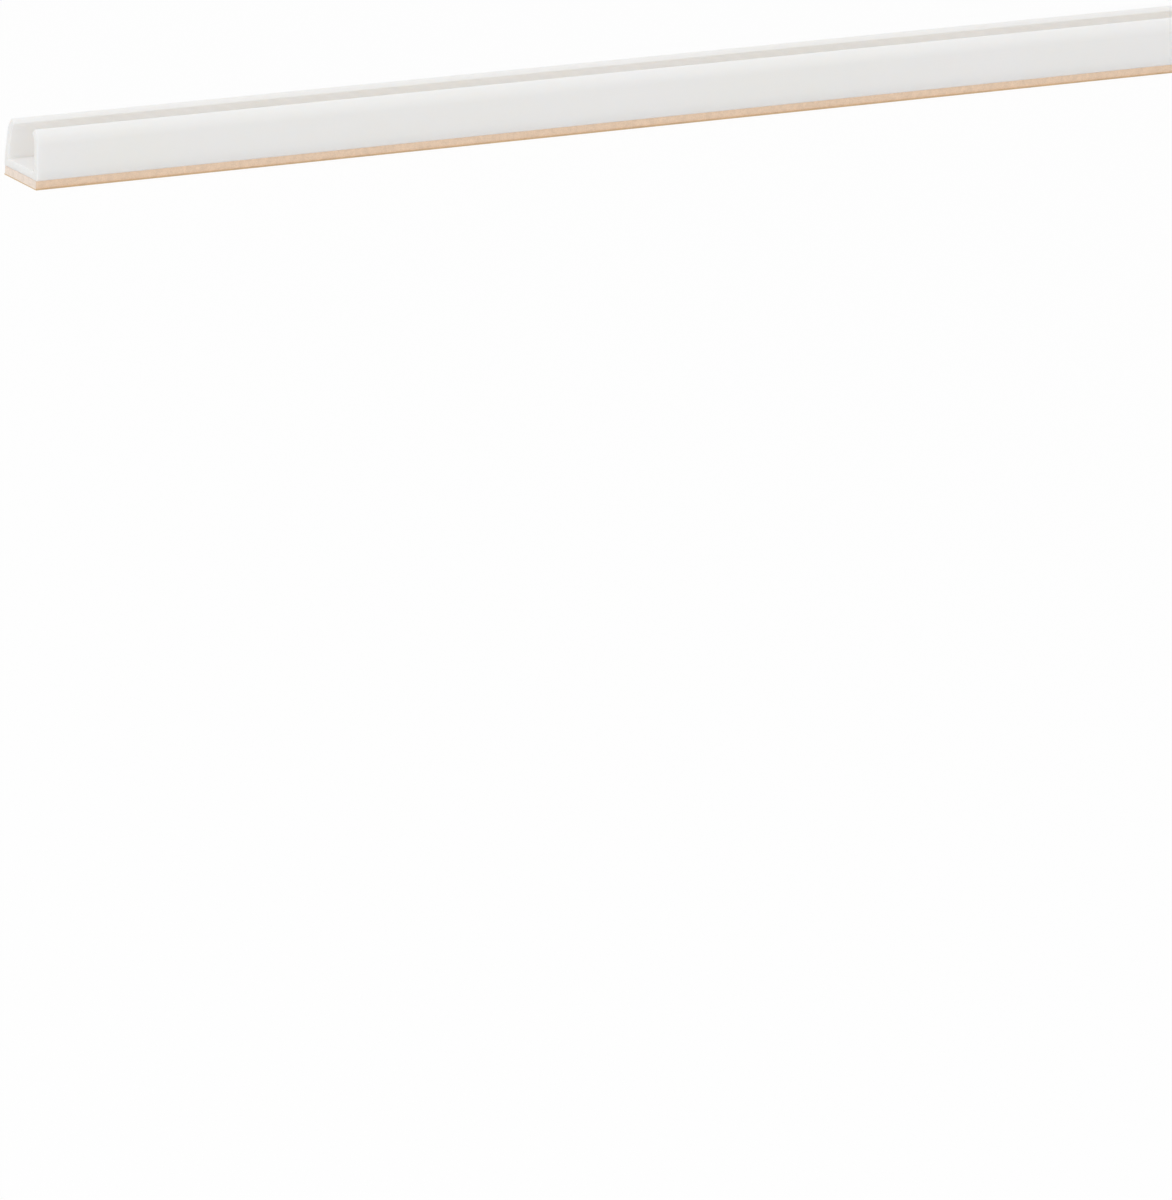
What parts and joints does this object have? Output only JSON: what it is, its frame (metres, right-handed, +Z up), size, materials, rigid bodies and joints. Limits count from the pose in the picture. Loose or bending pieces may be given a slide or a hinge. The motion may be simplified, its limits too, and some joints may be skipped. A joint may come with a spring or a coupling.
{
  "type": "cord cover raceway",
  "caption": "Straight length of white open-topped cord channel, its walls curled inward to an open slot, on a foam-tape back under a peel-off liner.",
  "frame": {"origin": "on the floor, under the middle of the stock: the centre of the liner's lower face", "axes": "+X along the stock, away from the end that the picture shows; +Y across it, away from the camera; +Z up, out of the open slot"},
  "size_m": [0.4, 0.0126, 0.0117],
  "materials": {
    "white_pvc": "satin white extruded PVC",
    "tape_foam": "matt peach closed-cell foam",
    "liner_paper": "waxed tan release paper"
  },
  "bodies": {
    "root": {"channel": "white_pvc", "foam_tape": "tape_foam", "release_liner": "liner_paper"}
  },
  "joints": []
}
